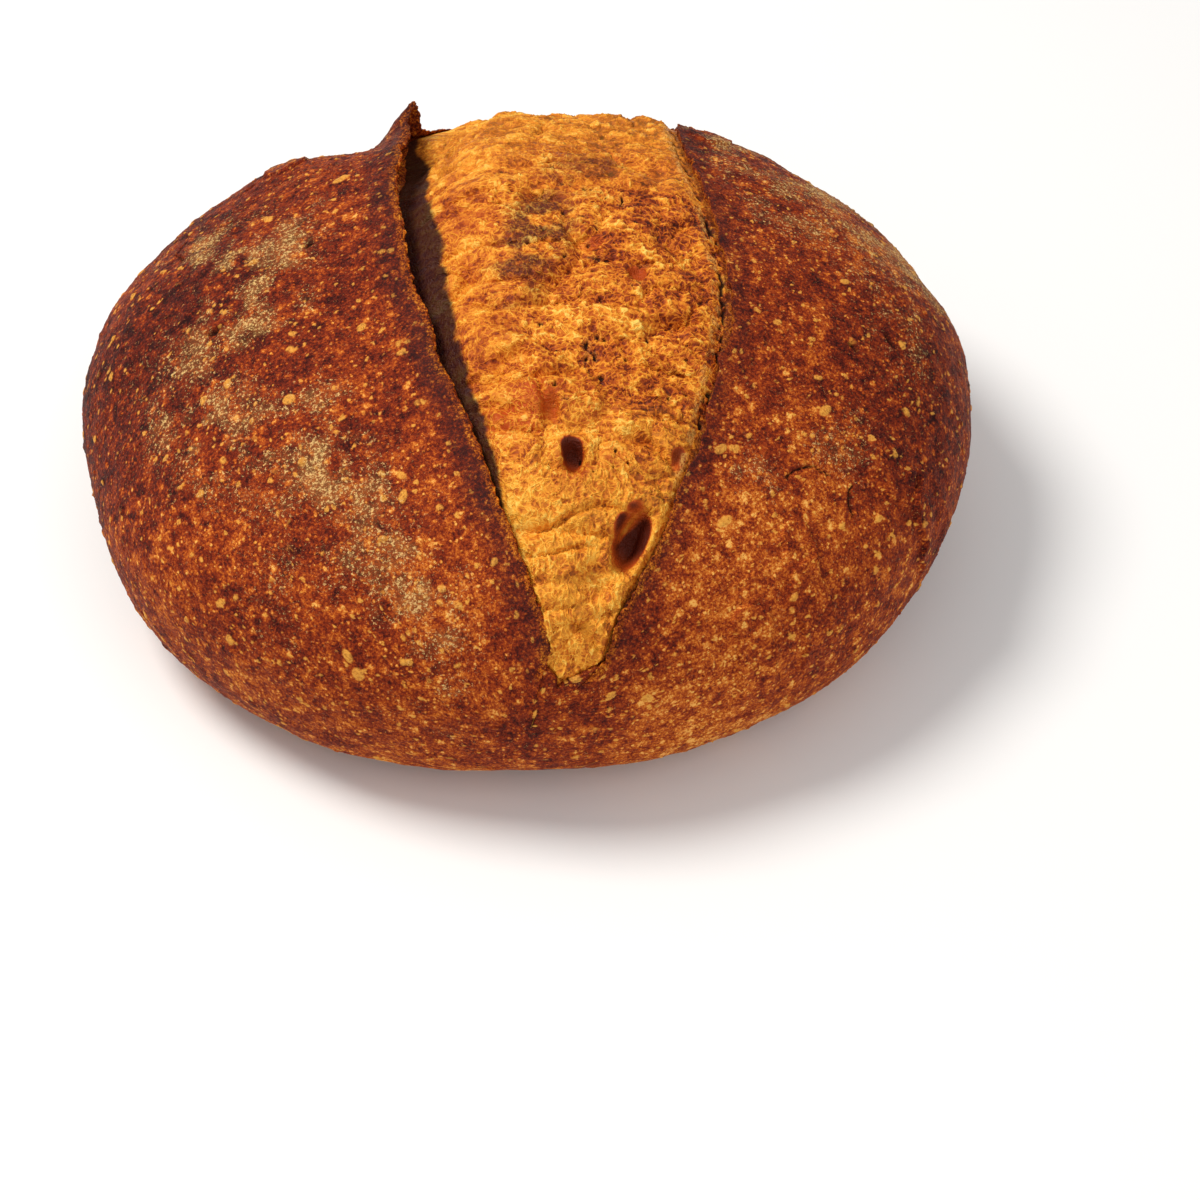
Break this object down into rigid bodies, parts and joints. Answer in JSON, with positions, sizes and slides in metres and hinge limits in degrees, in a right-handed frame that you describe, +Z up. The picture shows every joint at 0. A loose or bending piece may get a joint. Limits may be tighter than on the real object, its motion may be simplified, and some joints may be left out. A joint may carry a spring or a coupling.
{
  "type": "round country loaf",
  "caption": "Round durum wheat loaf, uncut, with a lengthwise slash that opened in the oven into a raised ear of crust and torn golden crumb.",
  "frame": {"origin": "middle of the loaf's outline, on the surface that it rests on", "axes": "+Z up, +X across the slash along the loaf's widest line, +Y along the slash from its narrow front end to its broad back end"},
  "size_m": [0.2618, 0.2367, 0.1103],
  "materials": {
    "crust": "browned bread crust, matt and blistered, with pale flour",
    "crumb": "torn golden crumb, baked dry, matt"
  },
  "bodies": {
    "root": {"loaf": "crust"}
  },
  "joints": []
}
